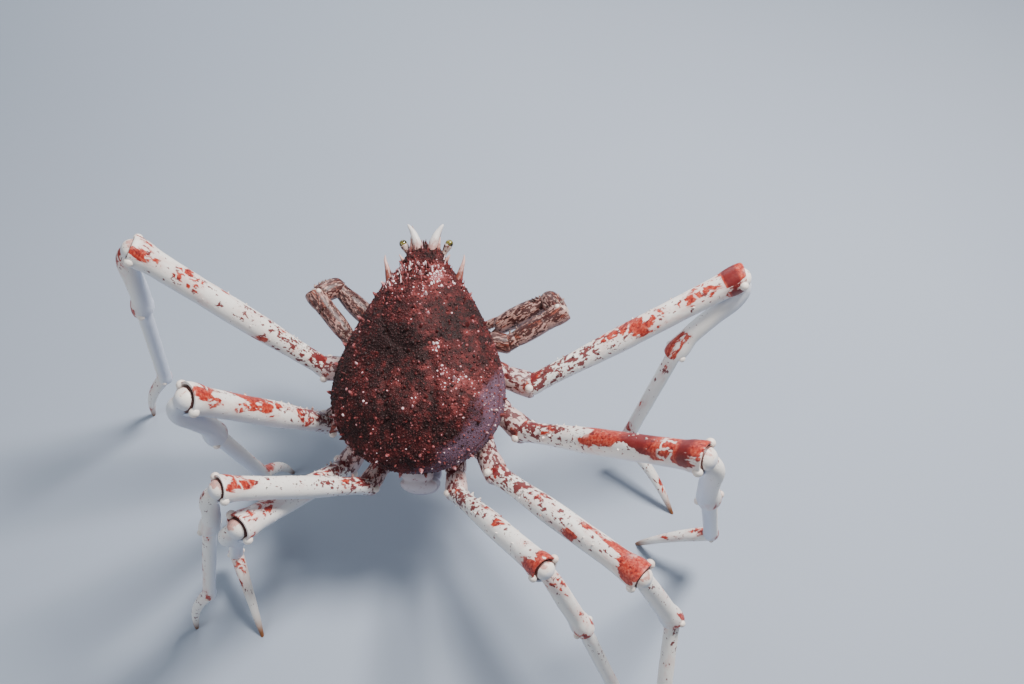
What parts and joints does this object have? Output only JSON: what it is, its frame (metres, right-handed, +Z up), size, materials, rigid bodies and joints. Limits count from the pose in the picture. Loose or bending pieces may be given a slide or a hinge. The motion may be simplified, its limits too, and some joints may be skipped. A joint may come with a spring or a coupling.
{
  "type": "japanese spider crab",
  "caption": "Life-size model of a japanese spider crab standing on the tips of its long walking legs, claws folded at its pear-shaped, spiny shell",
  "frame": {"origin": "middle of the footprint, on the ground under the crab", "axes": "+Z up, +Y toward the crab's head, +X toward the crab's right side"},
  "size_m": [0.9832, 0.7928, 0.5141],
  "materials": {
    "abdomen": "rough pebbled shell",
    "antenna_left": "matt jointed feeler",
    "antenna_right": "matt jointed feeler",
    "carapace": "rough pebbled shell",
    "eye_left": "wet gloss",
    "eye_right": "wet gloss",
    "left_claw_carpus": "granular shell",
    "left_claw_finger": "granular shell",
    "left_claw_hip": "granular shell",
    "left_claw_merus": "granular shell",
    "left_claw_palm": "granular shell",
    "left_leg1_carpus": "semi-gloss shell with blotches",
    "left_leg1_dactylus": "semi-gloss shell",
    "left_leg1_hip": "semi-gloss shell",
    "left_leg1_merus": "semi-gloss shell with blotches",
    "left_leg1_propodus": "semi-gloss shell with blotches",
    "left_leg2_carpus": "semi-gloss shell with blotches",
    "left_leg2_dactylus": "semi-gloss shell",
    "left_leg2_hip": "semi-gloss shell",
    "left_leg2_merus": "semi-gloss shell with blotches",
    "left_leg2_propodus": "semi-gloss shell with blotches",
    "left_leg3_carpus": "semi-gloss shell with blotches",
    "left_leg3_dactylus": "semi-gloss shell",
    "left_leg3_hip": "semi-gloss shell",
    "left_leg3_merus": "semi-gloss shell with blotches",
    "left_leg3_propodus": "semi-gloss shell with blotches",
    "left_leg4_carpus": "semi-gloss shell with blotches",
    "left_leg4_dactylus": "semi-gloss shell",
    "left_leg4_hip": "semi-gloss shell",
    "left_leg4_merus": "semi-gloss shell with blotches",
    "left_leg4_propodus": "semi-gloss shell with blotches",
    "mouthparts": "matt shell plates",
    "right_claw_carpus": "granular shell",
    "right_claw_finger": "granular shell",
    "right_claw_hip": "granular shell",
    "right_claw_merus": "granular shell",
    "right_claw_palm": "granular shell",
    "right_leg1_carpus": "semi-gloss shell with blotches",
    "right_leg1_dactylus": "semi-gloss shell",
    "right_leg1_hip": "semi-gloss shell",
    "right_leg1_merus": "semi-gloss shell with blotches",
    "right_leg1_propodus": "semi-gloss shell with blotches",
    "right_leg2_carpus": "semi-gloss shell with blotches",
    "right_leg2_dactylus": "semi-gloss shell",
    "right_leg2_hip": "semi-gloss shell",
    "right_leg2_merus": "semi-gloss shell with blotches",
    "right_leg2_propodus": "semi-gloss shell with blotches",
    "right_leg3_carpus": "semi-gloss shell with blotches",
    "right_leg3_dactylus": "semi-gloss shell",
    "right_leg3_hip": "semi-gloss shell",
    "right_leg3_merus": "semi-gloss shell with blotches",
    "right_leg3_propodus": "semi-gloss shell with blotches",
    "right_leg4_carpus": "semi-gloss shell with blotches",
    "right_leg4_dactylus": "semi-gloss shell",
    "right_leg4_hip": "semi-gloss shell",
    "right_leg4_merus": "semi-gloss shell with blotches",
    "right_leg4_propodus": "semi-gloss shell with blotches",
    "thorax": "pale matt shell"
  },
  "bodies": {
    "root": {"abdomen": "abdomen", "antenna_left": "antenna_left", "antenna_right": "antenna_right", "carapace": "carapace", "eye_left": "eye_left", "eye_right": "eye_right", "left_claw_carpus": "left_claw_carpus", "left_claw_finger": "left_claw_finger", "left_claw_hip": "left_claw_hip", "left_claw_merus": "left_claw_merus", "left_claw_palm": "left_claw_palm", "left_leg1_carpus": "left_leg1_carpus", "left_leg1_dactylus": "left_leg1_dactylus", "left_leg1_hip": "left_leg1_hip", "left_leg1_merus": "left_leg1_merus", "left_leg1_propodus": "left_leg1_propodus", "left_leg2_carpus": "left_leg2_carpus", "left_leg2_dactylus": "left_leg2_dactylus", "left_leg2_hip": "left_leg2_hip", "left_leg2_merus": "left_leg2_merus", "left_leg2_propodus": "left_leg2_propodus", "left_leg3_carpus": "left_leg3_carpus", "left_leg3_dactylus": "left_leg3_dactylus", "left_leg3_hip": "left_leg3_hip", "left_leg3_merus": "left_leg3_merus", "left_leg3_propodus": "left_leg3_propodus", "left_leg4_carpus": "left_leg4_carpus", "left_leg4_dactylus": "left_leg4_dactylus", "left_leg4_hip": "left_leg4_hip", "left_leg4_merus": "left_leg4_merus", "left_leg4_propodus": "left_leg4_propodus", "mouthparts": "mouthparts", "right_claw_carpus": "right_claw_carpus", "right_claw_finger": "right_claw_finger", "right_claw_hip": "right_claw_hip", "right_claw_merus": "right_claw_merus", "right_claw_palm": "right_claw_palm", "right_leg1_carpus": "right_leg1_carpus", "right_leg1_dactylus": "right_leg1_dactylus", "right_leg1_hip": "right_leg1_hip", "right_leg1_merus": "right_leg1_merus", "right_leg1_propodus": "right_leg1_propodus", "right_leg2_carpus": "right_leg2_carpus", "right_leg2_dactylus": "right_leg2_dactylus", "right_leg2_hip": "right_leg2_hip", "right_leg2_merus": "right_leg2_merus", "right_leg2_propodus": "right_leg2_propodus", "right_leg3_carpus": "right_leg3_carpus", "right_leg3_dactylus": "right_leg3_dactylus", "right_leg3_hip": "right_leg3_hip", "right_leg3_merus": "right_leg3_merus", "right_leg3_propodus": "right_leg3_propodus", "right_leg4_carpus": "right_leg4_carpus", "right_leg4_dactylus": "right_leg4_dactylus", "right_leg4_hip": "right_leg4_hip", "right_leg4_merus": "right_leg4_merus", "right_leg4_propodus": "right_leg4_propodus", "thorax": "thorax"}
  },
  "joints": []
}
